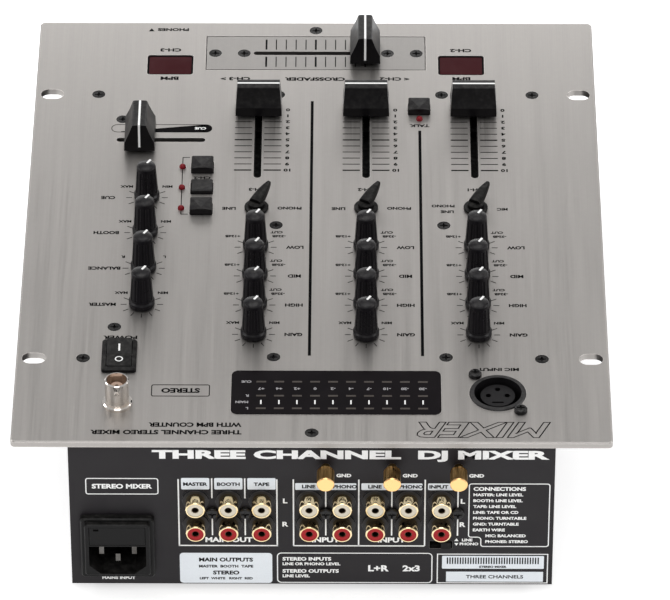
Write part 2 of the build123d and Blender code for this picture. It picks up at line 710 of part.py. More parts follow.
def fader_cap():
    """Cap that travels along X, with hollowed finger faces; z = 0 at the face plate."""
    half = cap_l / 2
    ridge = cap_top_l / 2
    with BuildPart() as outline:
        with BuildSketch(Plane.XZ):
            with BuildLine():
                Polyline((-half + 0.2, cap_skirt), (-half, 0), (half, 0), (half - 0.2, cap_skirt))
                ThreePointArc((half - 0.2, cap_skirt), (4.85, 8.3), (ridge, cap_h - 0.9))
                ThreePointArc((ridge, cap_h - 0.9), (ridge - 0.3, cap_h - 0.35), (ridge - 0.9, cap_h - 0.1))
                ThreePointArc((ridge - 0.9, cap_h - 0.1), (0, cap_h), (-ridge + 0.9, cap_h - 0.1))
                ThreePointArc((-ridge + 0.9, cap_h - 0.1), (-ridge + 0.3, cap_h - 0.35),
                              (-ridge, cap_h - 0.9))
                ThreePointArc((-ridge, cap_h - 0.9), (-4.85, 8.3), (-half + 0.2, cap_skirt))
            make_face()
        extrude(amount=cap_w, both=True)
    ends = Polyline((-cap_w / 2, -1), (cap_w / 2, -1), (cap_w / 2, 1.5), (cap_top_w / 2, cap_h + 1),
                    (-cap_top_w / 2, cap_h + 1), (-cap_w / 2, 1.5), close=True)
    side = extrude(Plane.YZ * make_face(ends), cap_l, both=True)
    hollow = block(0, 0, -1, cap_l - 3.0, cap_w - 3.0, cap_skirt) - block(0, 0, -2, 6.0, 6.0, 9)
    return Pos(0, 0, cap_lift) * (outline.part & side) - Pos(0, 0, cap_lift) * hollow


def fader_arm(case_top):
    """Blade and carriage below a cap; case_top is the case's height on the face plate."""
    top = cap_lift + 7.0
    blade = block(0, 0, case_top - 6.0, 4.0, 1.5, top - case_top + 6.0)
    return blade + block(0, 0, case_top - 8.6, 9.0, 6.8, 3.0)


def fader(x, y, turn, case_top):
    """A cap on its arm at its place on the face plate."""
    arm = fader_arm(case_top)
    place = Pos(x, y, panel_top) * Rot(0, 0, turn)
    return [place * (fader_cap() - arm), place * arm]


def slope_beside_arrow(height):
    """Two cutters that leave a raised triangle on a button, its tip towards +Y."""
    half_w = button_w / 2 - 0.5
    half_d = button_d / 2 - 0.5
    run = Vector(-half_w, 2 * half_d, 0).normalized()
    outward = Vector(run.Y, -run.X, 0)
    fall = math.radians(13)
    tilted = Plane(origin=(half_w, -half_d, height), x_dir=run,
                   z_dir=outward * math.sin(fall) + Vector(0, 0, math.cos(fall)))
    cutter = tilted * Pos(5, -5, 2) * Box(20, 10, 4)
    return [cutter, mirror(cutter, Plane.YZ)]


def button(height, arrow):
    """Push button about its own centre; z = 0 at the face plate's top."""
    foot = -panel_t - 1.0
    cap = round_block(0, 0, foot, button_w, button_d, height - foot, 0.6)
    cap = chamfer(cap.faces().sort_by(Axis.Z)[-1].edges(), 0.5)
    stem_foot = -(board_gap + panel_t) + 4.0
    stem = block(0, 0, stem_foot, 3.0, 3.0, foot - stem_foot)
    if arrow:
        cap -= slope_beside_arrow(height)
    return cap + stem


def buttons():
    """Three cue buttons and the talk button."""
    pieces = {}
    for index, y in enumerate(button_y):
        made = button(button_heights[index], arrow=index != 1)
        pieces[f"cue_button_{index + 1}"] = Pos(button_x, y, panel_top) * made
    pieces["talk_button"] = Pos(*talk_site, panel_top) * button(3.7, arrow=True)
    return pieces


# ---- Write every node ----
def main():
    os.makedirs("parts", exist_ok=True)
    save("top_panel", top_panel())
    save("crossfader_plate", crossfader_plate())
    save("chassis_tub", chassis_tub())
    save("rear_panel", rear_panel())
    save("rubber_feet", *rubber_feet())
    save("countersunk_screws", *countersunk_screws())
    save("pan_head_screws", *pan_head_screws())
    save("main_board", main_board())
    save("threaded_posts", *threaded_posts())
    save("rotary_control_bodies", *rotary_control_bodies())
    save("switch_bodies", *switch_bodies())
    save("fader_cases", *fader_cases())
    save("display_modules", *display_modules())
    save("meter_window", meter_window())
    save("indicator_lenses", *indicator_lenses())
    save("mic_socket_shell", mic_socket_shell())
    save("lamp_socket_shell", *lamp_socket_shell())
    save("socket_inserts", *socket_inserts())
    save("power_switch_frame", power_switch_frame())
    save("power_rocker", power_rocker())
    save("mains_inlet", mains_inlet())
    save("mains_pins", *mains_pins())
    save("fuse_drawer", *fuse_drawer())
    save("phono_blocks", *phono_blocks())
    save("phono_rings", *phono_rings())
    save("phono_inserts", *phono_inserts())
    save("phono_line_slider", phono_line_slider())
    save("headphone_socket", *headphone_socket())
    save("power_supply", *power_supply())
    for index, x in enumerate(post_x):
        save(f"ground_nut_{index + 1}", ground_nut(x))
    for name, pieces in rotary_knobs().items():
        save(name, *pieces)
    for index, pieces in enumerate(input_levers()):
        save(f"input_lever_{index + 1}", *pieces)
    for index, x in enumerate(channel_x):
        save(f"channel_fader_{index + 1}", *fader(x, fader_rest_y, 90, -panel_t - 0.2))
    save("crossfader", *fader(-cross_travel / 2, cross_y, 0, -cross_plate_t))
    save("cue_fader", *fader(cue_fader_rest_x, cue_fader_y, 0, -panel_t - 0.2))
    for name, piece in buttons().items():
        save(name, piece)


main()
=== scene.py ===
import json
import math
import bpy
from mathutils import Matrix, Vector


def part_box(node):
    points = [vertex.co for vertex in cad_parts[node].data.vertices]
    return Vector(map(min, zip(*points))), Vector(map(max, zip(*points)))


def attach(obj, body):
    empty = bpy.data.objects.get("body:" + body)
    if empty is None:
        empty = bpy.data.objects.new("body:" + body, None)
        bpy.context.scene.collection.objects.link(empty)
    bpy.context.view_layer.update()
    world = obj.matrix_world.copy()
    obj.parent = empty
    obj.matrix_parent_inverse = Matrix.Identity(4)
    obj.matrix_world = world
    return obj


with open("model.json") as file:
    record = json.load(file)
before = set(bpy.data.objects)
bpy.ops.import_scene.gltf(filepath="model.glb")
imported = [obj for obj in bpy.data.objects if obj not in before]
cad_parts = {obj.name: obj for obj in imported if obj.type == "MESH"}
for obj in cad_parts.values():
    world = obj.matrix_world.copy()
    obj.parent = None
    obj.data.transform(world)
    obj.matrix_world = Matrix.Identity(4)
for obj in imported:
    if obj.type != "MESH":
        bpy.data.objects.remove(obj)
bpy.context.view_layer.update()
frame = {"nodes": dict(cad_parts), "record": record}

# ---- Places, read from the frame; layout sizes are millimetres on the face plate ----
MM = 0.001
face_low, face_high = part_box("top_panel")
face_middle = (face_low + face_high) / 2
face_top = face_high.z
back_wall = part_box("rear_panel")[1].y
INK = 0.04 * MM
channels = [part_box(f"channel_fader_{i}") for i in (1, 2, 3)]
channel_x = [((low.x + high.x) / 2 - face_middle.x) / MM for low, high in channels]
KNOBS = [node for node in frame["nodes"] if "_knob" in node]
CAPS = ["channel_fader_1", "channel_fader_2", "channel_fader_3", "crossfader", "cue_fader"]
REST_TURN = math.radians(150)


def on_face(x, y, lift=0.0):
    """Matrix that puts a flat piece on the face plate, reading from the front."""
    return Matrix.Translation((face_middle.x + x * MM, face_middle.y + y * MM, face_top + lift * MM))


def on_back(x, drop, lift=0.0):
    """Matrix that puts a flat piece on the back wall, reading from behind."""
    upright = Matrix(((-1, 0, 0, 0), (0, 0, 1, 0), (0, 1, 0, 0), (0, 0, 0, 1)))
    place = Vector((face_middle.x + x * MM, back_wall + lift * MM, face_top - drop * MM))
    return Matrix.Translation(place) @ upright


def face_place(node):
    """Centre of a node on the face plate, in layout millimetres."""
    low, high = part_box(node)
    middle = (low + high) / 2 - face_middle
    return middle.x / MM, middle.y / MM


# ---- Node groups: effects that several materials share ----
def new_group(name, inputs, outputs):
    group = bpy.data.node_groups.new(name, "ShaderNodeTree")
    for label, value in inputs:
        socket = group.interface.new_socket(label, in_out="INPUT", socket_type="NodeSocketFloat")
        socket.default_value = value
    for label in outputs:
        group.interface.new_socket(label, in_out="OUTPUT", socket_type="NodeSocketFloat")
    return group, group.nodes.new("NodeGroupInput"), group.nodes.new("NodeGroupOutput")


def maths(tree, operation, *values):
    """A Math node; values are numbers or sockets."""
    node = tree.nodes.new("ShaderNodeMath")
    node.operation = operation
    for socket, value in zip(node.inputs, values):
        if isinstance(value, (int, float)):
            socket.default_value = value
        else:
            tree.links.new(value, socket)
    return node.outputs[0]


def stretched_noise(tree, scales, detail=3.0):
    """Noise on Object coordinates; scales are cells per metre along X, Y and Z."""
    place = tree.nodes.new("ShaderNodeTexCoord").outputs["Object"]
    spread = tree.nodes.new("ShaderNodeVectorMath")
    spread.operation = "MULTIPLY"
    tree.links.new(place, spread.inputs[0])
    if isinstance(scales, tuple):
        spread.inputs[1].default_value = scales
    else:
        tree.links.new(scales, spread.inputs[1])
    noise = tree.nodes.new("ShaderNodeTexNoise")
    noise.inputs["Scale"].default_value = 1.0
    noise.inputs["Detail"].default_value = detail
    noise.inputs["Roughness"].default_value = 0.6
    tree.links.new(spread.outputs[0], noise.inputs["Vector"])
    return noise.outputs["Fac"]


def brushed_lines():
    """Fine straight scratches along Y, with slow bands of tone across them."""
    group, given, made = new_group("brushed_lines", [("Across", 3200.0), ("Along", 18.0)], ["Height", "Tone"])
    scale = group.nodes.new("ShaderNodeCombineXYZ")
    group.links.new(given.outputs["Across"], scale.inputs["X"])
    group.links.new(given.outputs["Along"], scale.inputs["Y"])
    group.links.new(given.outputs["Across"], scale.inputs["Z"])
    fine = stretched_noise(group, scale.outputs[0], 4.0)
    band = stretched_noise(group, (260.0, 5.0, 260.0), 3.0)
    tone = maths(group, "ADD", maths(group, "MULTIPLY", fine, 0.62), maths(group, "MULTIPLY", band, 0.38))
    group.links.new(fine, made.inputs["Height"])
    group.links.new(tone, made.inputs["Tone"])
    return group


def moulded_grain():
    """Small even grain of a moulded or coated surface, with slow mottling."""
    group, given, made = new_group("moulded_grain", [("Size", 2600.0)], ["Height", "Mottle"])
    scale = group.nodes.new("ShaderNodeCombineXYZ")
    for axis in "XYZ":
        group.links.new(given.outputs["Size"], scale.inputs[axis])
    group.links.new(stretched_noise(group, scale.outputs[0], 2.0), made.inputs["Height"])
    group.links.new(stretched_noise(group, (85.0, 85.0, 85.0), 4.0), made.inputs["Mottle"])
    return group


def worn_edges():
    """Mask that is bright along outer edges, broken up by noise."""
    group, given, made = new_group("worn_edges", [("Radius", 0.0004), ("Amount", 3.0)], ["Mask"])
    bevel = group.nodes.new("ShaderNodeBevel")
    bevel.samples = 4
    group.links.new(given.outputs["Radius"], bevel.inputs["Radius"])
    surface = group.nodes.new("ShaderNodeNewGeometry")
    match = group.nodes.new("ShaderNodeVectorMath")
    match.operation = "DOT_PRODUCT"
    group.links.new(bevel.outputs[0], match.inputs[0])
    group.links.new(surface.outputs["Normal"], match.inputs[1])
    edge = maths(group, "MULTIPLY", maths(group, "SUBTRACT", 1.0, match.outputs["Value"]), given.outputs["Amount"])
    patchy = maths(group, "MULTIPLY", edge, stretched_noise(group, (240.0, 240.0, 240.0), 3.0))
    clipped = maths(group, "MINIMUM", maths(group, "MULTIPLY", patchy, 2.0), 1.0)
    group.links.new(clipped, made.inputs["Mask"])
    return group


def settled_dust():
    """Thin patchy dust on faces that look up."""
    group, given, made = new_group("settled_dust", [("Amount", 0.2)], ["Mask"])
    surface = group.nodes.new("ShaderNodeNewGeometry")
    parts = group.nodes.new("ShaderNodeSeparateXYZ")
    group.links.new(surface.outputs["Normal"], parts.inputs[0])
    upward = maths(group, "MAXIMUM", parts.outputs["Z"], 0.0)
    speck = maths(group, "POWER", stretched_noise(group, (420.0, 420.0, 420.0), 6.0), 3.0)
    dust = maths(group, "MULTIPLY", maths(group, "MULTIPLY", upward, speck), given.outputs["Amount"])
    group.links.new(maths(group, "MINIMUM", dust, 1.0), made.inputs["Mask"])
    return group


BRUSHED = brushed_lines()
GRAIN = moulded_grain()
EDGES = worn_edges()
DUST = settled_dust()


# ---- Material building ----
def start_material(name, metallic=0.0, **sockets):
    material = bpy.data.materials.new(name)
    material.use_nodes = True
    shader = material.node_tree.nodes["Principled BSDF"]
    shader.inputs["Metallic"].default_value = metallic
    for label, value in sockets.items():
        shader.inputs[label.replace("_", " ")].default_value = value
    return material, material.node_tree, shader


def use_group(tree, group, **values):
    node = tree.nodes.new("ShaderNodeGroup")
    node.node_tree = group
    for label, value in values.items():
        node.inputs[label].default_value = value
    return node


def blend_colors(tree, factor, low, high):
    """Colour between low and high, each a grey-free RGB triple or a socket."""
    mix = tree.nodes.new("ShaderNodeMix")
    mix.data_type = "RGBA"
    tree.links.new(factor, mix.inputs["Factor"])
    for socket, value in ((mix.inputs[6], low), (mix.inputs[7], high)):
        if isinstance(value, tuple):
            socket.default_value = (*value, 1.0)
        else:
            tree.links.new(value, socket)
    return mix.outputs[2]


def spread(tree, factor, low, high, start=0.3, end=0.7):
    """Value between low and high while factor runs from start to end."""
    node = tree.nodes.new("ShaderNodeMapRange")
    tree.links.new(factor, node.inputs["Value"])
    for label, value in (("From Min", start), ("From Max", end), ("To Min", low), ("To Max", high)):
        node.inputs[label].default_value = value
    return node.outputs["Result"]


def raise_surface(tree, shader, height, strength, depth):
    bump = tree.nodes.new("ShaderNodeBump")
    bump.inputs["Strength"].default_value = strength
    bump.inputs["Distance"].default_value = depth
    tree.links.new(height, bump.inputs["Height"])
    tree.links.new(bump.outputs[0], shader.inputs["Normal"])


def shade(color, factor):
    return tuple(part * factor for part in color)


def brushed_metal(name, color, rough_low, rough_high):
    """Brushed, clear-coated aluminium with bright worn edges."""
    material, tree, shader = start_material(name, metallic=1.0)
    lines = use_group(tree, BRUSHED)
    dust = use_group(tree, DUST, Amount=0.25)
    tone = spread(tree, lines.outputs["Tone"], 0.0, 1.0, 0.35, 0.65)
    metal = blend_colors(tree, tone, shade(color, 0.91), shade(color, 1.05))
    edge = use_group(tree, EDGES, Radius=0.0006, Amount=4.0)
    bright = blend_colors(tree, edge.outputs["Mask"], metal, shade(color, 2.0))
    dusty = blend_colors(tree, dust.outputs["Mask"], bright, (0.5, 0.48, 0.45))
    tree.links.new(dusty, shader.inputs["Base Color"])
    tree.links.new(spread(tree, tone, rough_low, rough_high, 0.0, 1.0), shader.inputs["Roughness"])
    raise_surface(tree, shader, lines.outputs["Height"], 0.35, 0.00003)
    return material


def coated_steel(name, color):
    """Satin powder coat with a fine orange-peel grain."""
    material, tree, shader = start_material(name, Specular_IOR_Level=0.25)
    grain = use_group(tree, GRAIN, Size=1500.0)
    edge = use_group(tree, EDGES, Radius=0.0005, Amount=2.5)
    paint = blend_colors(tree, grain.outputs["Mottle"], shade(color, 0.8), shade(color, 1.25))
    worn = blend_colors(tree, edge.outputs["Mask"], paint, (0.16, 0.155, 0.15))
    tree.links.new(worn, shader.inputs["Base Color"])
    tree.links.new(spread(tree, grain.outputs["Mottle"], 0.42, 0.56), shader.inputs["Roughness"])
    raise_surface(tree, shader, grain.outputs["Height"], 0.3, 0.00006)
    return material


def moulded_plastic(name, color, roughness, wear=1.5, grain_depth=0.00003, **sockets):
    """Moulded plastic: fine grain, mottled gloss, paler handled edges, a little dust."""
    material, tree, shader = start_material(name, **sockets)
    grain = use_group(tree, GRAIN, Size=3400.0)
    edge = use_group(tree, EDGES, Radius=0.00035, Amount=wear)
    dust = use_group(tree, DUST, Amount=0.35)
    body = blend_colors(tree, grain.outputs["Mottle"], shade(color, 0.75), shade(color, 1.3))
    handled = blend_colors(tree, edge.outputs["Mask"], body, tuple(part * 1.8 + 0.03 for part in color))
    dusty = blend_colors(tree, dust.outputs["Mask"], handled, (0.3, 0.29, 0.27))
    tree.links.new(dusty, shader.inputs["Base Color"])
    tree.links.new(spread(tree, grain.outputs["Mottle"], roughness - 0.07, roughness + 0.08), shader.inputs["Roughness"])
    raise_surface(tree, shader, grain.outputs["Height"], 0.25, grain_depth)
    return material


def plated_metal(name, color, roughness, tarnish):
    """Bright plating, dulled and darkened in patches."""
    material, tree, shader = start_material(name, metallic=1.0)
    grain = use_group(tree, GRAIN, Size=900.0)
    stained = spread(tree, grain.outputs["Mottle"], 0.0, 1.0, 0.42, 0.68)
    tree.links.new(blend_colors(tree, stained, color, tarnish), shader.inputs["Base Color"])
    tree.links.new(spread(tree, stained, roughness, roughness + 0.14, 0.0, 1.0), shader.inputs["Roughness"])
    raise_surface(tree, shader, grain.outputs["Height"], 0.05, 0.000008)
    return material


def knurled_brass(name, face, side):
    """Brass with a clean flat end and knurled sides painted darker, as shade in the knurling."""
    material, tree, shader = start_material(name, metallic=1.0)
    surface = tree.nodes.new("ShaderNodeNewGeometry")
    parts = tree.nodes.new("ShaderNodeSeparateXYZ")
    tree.links.new(surface.outputs["Normal"], parts.inputs[0])
    flat_end = maths(tree, "GREATER_THAN", maths(tree, "ABSOLUTE", parts.outputs["Y"]), 0.6)
    grain = use_group(tree, GRAIN, Size=900.0)
    # Painted shade: the knurled sides take a darker brass that stands in for the shade in the knurls, with random
    # mottle.
    painted_knurl_shade = blend_colors(tree, grain.outputs["Mottle"], shade(side, 0.7), shade(side, 1.3))
    clean = blend_colors(tree, grain.outputs["Mottle"], shade(face, 0.9), shade(face, 1.05))
    tree.links.new(blend_colors(tree, flat_end, painted_knurl_shade, clean), shader.inputs["Base Color"])
    tree.links.new(spread(tree, grain.outputs["Mottle"], 0.22, 0.38), shader.inputs["Roughness"])
    raise_surface(tree, shader, grain.outputs["Height"], 0.1, 0.00001)
    return material


def polished_lens(name, color, glow):
    """Dark polished plastic with faint wiping marks and a clear coat."""
    material, tree, shader = start_material(name, Specular_IOR_Level=0.14)
    grain = use_group(tree, GRAIN, Size=500.0)
    tree.links.new(blend_colors(tree, grain.outputs["Mottle"], color, glow), shader.inputs["Base Color"])
    tree.links.new(spread(tree, grain.outputs["Mottle"], 0.08, 0.2), shader.inputs["Roughness"])
    raise_surface(tree, shader, grain.outputs["Height"], 0.05, 0.00003)
    return material


def printed_ink(name, color, roughness=0.5, gloss=0.3):
    """Screen-printed ink with a slightly uneven film."""
    material, tree, shader = start_material(name, Specular_IOR_Level=gloss)
    grain = use_group(tree, GRAIN, Size=5200.0)
    film = blend_colors(tree, grain.outputs["Height"], shade(color, 0.82), shade(color, 1.12))
    tree.links.new(film, shader.inputs["Base Color"])
    tree.links.new(spread(tree, grain.outputs["Mottle"], roughness - 0.08, roughness + 0.1), shader.inputs["Roughness"])
    raise_surface(tree, shader, grain.outputs["Height"], 0.2, 0.00002)
    return material


def two_tone_moulding(name, axis, border, below, above, roughness=0.3, gloss=0.22):
    """Pieces of two colours: one below and one above a border along one axis."""
    material, tree, shader = start_material(name, Specular_IOR_Level=gloss)
    place = tree.nodes.new("ShaderNodeTexCoord").outputs["Object"]
    parts = tree.nodes.new("ShaderNodeSeparateXYZ")
    tree.links.new(place, parts.inputs[0])
    side = maths(tree, "GREATER_THAN", parts.outputs[axis], border)
    grain = use_group(tree, GRAIN, Size=1800.0)
    below_part = blend_colors(tree, grain.outputs["Mottle"], shade(below, 0.75), below)
    above_part = blend_colors(tree, grain.outputs["Mottle"], shade(above, 0.88), above)
    tree.links.new(blend_colors(tree, side, below_part, above_part), shader.inputs["Base Color"])
    tree.links.new(spread(tree, grain.outputs["Mottle"], roughness, roughness * 1.5), shader.inputs["Roughness"])
    raise_surface(tree, shader, grain.outputs["Height"], 0.15, 0.00002)
    return material


def middle_of(node):
    low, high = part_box(node)
    return (low + high) / 2


BRUSHED_FACE = brushed_metal("brushed_face", (0.385, 0.366, 0.35), 0.36, 0.5)
BRUSHED_INSET = brushed_metal("brushed_inset", (0.31, 0.297, 0.285), 0.38, 0.52)
BLACK_COAT = coated_steel("black_powder_coat", (0.0105, 0.0085, 0.0105))
KNOB_BLACK = moulded_plastic("knob_black", (0.005, 0.0042, 0.006), 0.3, wear=1.0, Specular_IOR_Level=0.18)
CAP_BLACK = moulded_plastic("cap_black", (0.0035, 0.003, 0.0037), 0.34, wear=1.2, Specular_IOR_Level=0.16)
LEVER_BLACK = moulded_plastic("lever_black", (0.002, 0.0017, 0.002), 0.4, wear=0.6, Specular_IOR_Level=0.1)
SOCKET_BLACK = moulded_plastic("socket_black", (0.009, 0.008, 0.009), 0.36, Specular_IOR_Level=0.3)
BUTTON_BLACK = moulded_plastic("button_black", (0.006, 0.005, 0.006), 0.36, wear=1.2, Specular_IOR_Level=0.17)
INSERT_BLACK = moulded_plastic("insert_black", (0.016, 0.015, 0.017), 0.48, Specular_IOR_Level=0.3)
INLET_BLACK = moulded_plastic("inlet_black", (0.003, 0.0028, 0.003), 0.36, grain_depth=0.00005, Specular_IOR_Level=0.16)
ROCKER_BLACK = moulded_plastic("rocker_black", (0.0035, 0.003, 0.0035), 0.3, Specular_IOR_Level=0.11)
RUBBER = moulded_plastic("foot_rubber", (0.014, 0.014, 0.014), 0.75, wear=0.6, grain_depth=0.0001)
SCREW_BLACK = moulded_plastic("blackened_screw", (0.004, 0.0035, 0.004), 0.2, wear=0.8, Specular_IOR_Level=0.3)
CASE_BLACK = moulded_plastic("blackened_case", (0.003, 0.003, 0.003), 0.5, wear=0.3, Specular_IOR_Level=0.1)
WINDOW_BLACK = polished_lens("dark_window", (0.003, 0.0022, 0.003), (0.007, 0.0045, 0.006))
LENS_RED = two_tone_moulding("red_lens", "Y", face_middle.y - 95.0 * MM, (0.046, 0.0035, 0.006),
                             (0.2, 0.012, 0.018), 0.12, 0.14)
NICKEL = plated_metal("nickel", (1.0, 0.96, 0.92), 0.08, (0.84, 0.77, 0.7))
GILT = plated_metal("gilt", (0.92, 0.76, 0.48), 0.07, (0.72, 0.54, 0.28))
# The second colour is the darker knurled side: painted shade for the knurling.
BRASS = knurled_brass("earth_brass", (0.98, 0.6, 0.26), (0.34, 0.21, 0.08))
# Painted shade: the mains pins get a dark metal colour that stands in for the shade inside the inlet's socket.
SHADED_PINS = plated_metal("pins_painted_shade", (0.14, 0.135, 0.13), 0.1, (0.08, 0.075, 0.07))
STEEL = plated_metal("zinc_steel", (0.6, 0.6, 0.6), 0.3, (0.35, 0.34, 0.32))
BOARD_GREEN = moulded_plastic("green_board", (0.02, 0.12, 0.05), 0.35)
CORE = two_tone_moulding("phono_core", "Z", middle_of("phono_inserts").z, (0.40, 0.007, 0.011), (0.72, 0.66, 0.54))
INSERT = two_tone_moulding("socket_insulator", "X", middle_of("socket_inserts").x, (0.006, 0.005, 0.006),
                           (0.5, 0.36, 0.28))
BLACK_INK = printed_ink("black_ink", (0.004, 0.0035, 0.004), 0.6, 0.02)
METER_INK = printed_ink("meter_ink", (0.36, 0.35, 0.36), 0.5, 0.1)
WHITE_INK = printed_ink("white_ink", (0.93, 0.93, 0.92), 0.5)
GREY_INK = printed_ink("unlit_bar", (0.055, 0.045, 0.038), 0.4)
LABEL_WHITE = printed_ink("label_white", (0.80, 0.84, 0.88), 0.4)
CONTACT = plated_metal("contact_bronze", (0.16, 0.11, 0.07), 0.35, (0.05, 0.03, 0.02))

DRESSING = {
    BRUSHED_FACE: ["top_panel"],
    BRUSHED_INSET: ["crossfader_plate"],
    BLACK_COAT: ["chassis_tub", "rear_panel"],
    RUBBER: ["rubber_feet"],
    SCREW_BLACK: ["countersunk_screws", "pan_head_screws"],
    BRASS: ["threaded_posts", "ground_nut_1", "ground_nut_2", "ground_nut_3"],
    BOARD_GREEN: ["main_board"],
    STEEL: ["rotary_control_bodies", "power_supply"],
    CASE_BLACK: ["fader_cases"],
    INSERT_BLACK: ["switch_bodies", "display_modules", "phono_blocks", "headphone_socket"],
    INSERT: ["socket_inserts"],
    WINDOW_BLACK: ["meter_window"],
    LENS_RED: ["indicator_lenses"],
    SOCKET_BLACK: ["mic_socket_shell"],
    NICKEL: ["lamp_socket_shell"],
    SHADED_PINS: ["mains_pins"],
    GILT: ["phono_rings"],
    CORE: ["phono_inserts"],
    INLET_BLACK: ["mains_inlet", "fuse_drawer", "phono_line_slider"],
    ROCKER_BLACK: ["power_switch_frame", "power_rocker"],
    KNOB_BLACK: KNOBS,
    CAP_BLACK: CAPS,
    LEVER_BLACK: ["input_lever_1", "input_lever_2", "input_lever_3"],
    BUTTON_BLACK: ["cue_button_1", "cue_button_2", "cue_button_3", "talk_button"],
}
for material, nodes in DRESSING.items():
    for node in nodes:
        for slot in frame["nodes"][node].material_slots:
            slot.material = material


# ---- Modelling helpers ----
def deselect():
    bpy.ops.object.select_all(action="DESELECT")


def flat_shape(corners, radius=0.0, thickness=INK / MM, line=0.0):
    """A thin plate with these corners, or with line its outline of that width, underside at z = 0."""
    deselect()
    bpy.ops.mesh.primitive_circle_add(vertices=len(corners), radius=1.0, fill_type="NGON")
    plate = bpy.context.object
    for point, (x, y) in zip(plate.data.vertices, corners):
        point.co = (x * MM, y * MM, 0.0)
    bpy.ops.object.mode_set(mode="EDIT")
    bpy.ops.mesh.select_all(action="SELECT")
    if radius:
        bpy.ops.mesh.bevel(offset=radius * MM, segments=5, affect="VERTICES")
        bpy.ops.mesh.select_all(action="SELECT")
    if line:
        bpy.ops.mesh.inset(thickness=line * MM)
        bpy.ops.mesh.delete(type="FACE")
        bpy.ops.mesh.select_all(action="SELECT")
    bpy.ops.mesh.extrude_region_move(TRANSFORM_OT_translate={"value": (0, 0, thickness * MM)})
    bpy.ops.mesh.select_all(action="SELECT")
    bpy.ops.mesh.normals_make_consistent(inside=False)
    bpy.ops.object.mode_set(mode="OBJECT")
    return plate


def flat_plate(width, depth, radius=0.0, thickness=INK / MM, line=0.0):
    """A thin rectangle, or with line its outline of that width; millimetres."""
    x, y = width / 2, depth / 2
    return flat_shape([(-x, -y), (x, -y), (x, y), (-x, y)], radius, thickness, line)


def flat_disc(radius, line=0.0, thickness=INK / MM):
    """A thin disc, or with line a ring of that width; millimetres."""
    deselect()
    bpy.ops.mesh.primitive_circle_add(vertices=32, radius=radius * MM, fill_type="NGON")
    disc = bpy.context.object
    bpy.ops.object.mode_set(mode="EDIT")
    bpy.ops.mesh.select_all(action="SELECT")
    if line:
        bpy.ops.mesh.inset(thickness=line * MM)
        bpy.ops.mesh.delete(type="FACE")
        bpy.ops.mesh.select_all(action="SELECT")
    bpy.ops.mesh.extrude_region_move(TRANSFORM_OT_translate={"value": (0, 0, thickness * MM)})
    bpy.ops.mesh.select_all(action="SELECT")
    bpy.ops.mesh.normals_make_consistent(inside=False)
    bpy.ops.object.mode_set(mode="OBJECT")
    return disc


def lettering(words, height, stretch=1.15, width=0.0, hollow=False, weight=0.04):
    """Wide bold lettering, centred, that many millimetres high, stretched to a width if one is given."""
    deselect()
    bpy.ops.object.text_add()
    text = bpy.context.object
    text.data.body = words
    text.data.resolution_u = 3
    if hollow:
        text.data.fill_mode = "NONE"
        text.data.bevel_depth = 0.014
        text.data.bevel_resolution = 0
        text.data.shear = 0.35
        text.data.offset = 0.02
    else:
        text.data.offset = weight
        text.data.extrude = 0.01
    bpy.ops.object.convert(target="MESH")
    letters = bpy.context.object
    corners = [Vector(corner) for corner in letters.bound_box]
    low = Vector(min(corner[axis] for corner in corners) for axis in range(3))
    high = Vector(max(corner[axis] for corner in corners) for axis in range(3))
    size = height * MM / (high.y - low.y)
    across = width * MM / (high.x - low.x) if width else size * stretch
    letters.data.transform(Matrix.Diagonal((across, size, INK / (high.z - low.z), 1.0))
                           @ Matrix.Translation((-(low.x + high.x) / 2, -(low.y + high.y) / 2, -low.z)))
    return letters


def width_of(piece):
    """Width of a flat piece that hasn't been placed yet, in millimetres."""
    across = [corner.co.x for corner in piece.data.vertices]
    return (max(across) - min(across)) / MM


def stamp(source, placement, pieces):
    """Add to pieces a copy of source, with its own mesh, moved by placement."""
    copy = source.copy()
    copy.data = source.data.copy()
    copy.data.transform(placement)
    bpy.context.scene.collection.objects.link(copy)
    pieces.append(copy)


def settle(piece, placement, pieces):
    """Move a fresh piece into place and add it to pieces."""
    piece.data.transform(placement)
    pieces.append(piece)


def discard(*sources):
    for source in sources:
        bpy.data.objects.remove(source)


def join(pieces, name, material, body="root"):
    """Join pieces into one, named and dressed, that rides on a body."""
    deselect()
    for piece in pieces:
        piece.select_set(True)
    bpy.context.view_layer.objects.active = pieces[0]
    bpy.ops.object.join()
    joined = bpy.context.object
    joined.name = name
    joined.data.name = name
    joined.data.materials.clear()
    joined.data.materials.append(material)
    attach(joined, body)
    return joined


# ---- Legends on the face plate ----
def turned(angle):
    return Matrix.Rotation(angle, 4, "Z")


def fader_scales(pieces):
    """Eleven marks each side of every channel fader, the first, middle and last bolder."""
    first_y = face_place("channel_fader_1")[1]
    thin = flat_plate(7.75, 0.45)
    bold = flat_plate(7.75, 0.8)
    for x in channel_x:
        for mark in range(11):
            y = first_y + mark * 4.55
            for side in (-6.6, 6.6):
                stamp(bold if mark % 5 == 0 else thin, on_face(x + side, y), pieces)
            settle(lettering(str(mark), 2.1, 1.35), on_face(x - 13.2, y), pieces)
    discard(thin, bold)


def crossfader_scale(pieces):
    slot_y = face_place("crossfader")[1]
    thin = flat_plate(0.45, 7.8)
    bold = flat_plate(0.85, 7.8)
    for mark in range(11):
        x = (mark - 5) * 4.53
        for side in (-6.8, 6.7):
            stamp(bold if mark % 5 == 0 else thin, on_face(x, slot_y + side), pieces)
    discard(thin, bold)


def knob_rings(pieces):
    """Eleven radial marks round every knob, over 300 degrees."""
    ring = []
    tick = flat_plate(0.35, 2.6)
    for mark in range(11):
        angle = REST_TURN - mark * math.radians(30)
        stamp(tick, turned(angle) @ Matrix.Translation((0, 7.9 * MM, 0)), ring)
    for node in KNOBS:
        for tick_copy in ring:
            stamp(tick_copy, on_face(*face_place(node)), pieces)
    discard(tick, *ring)


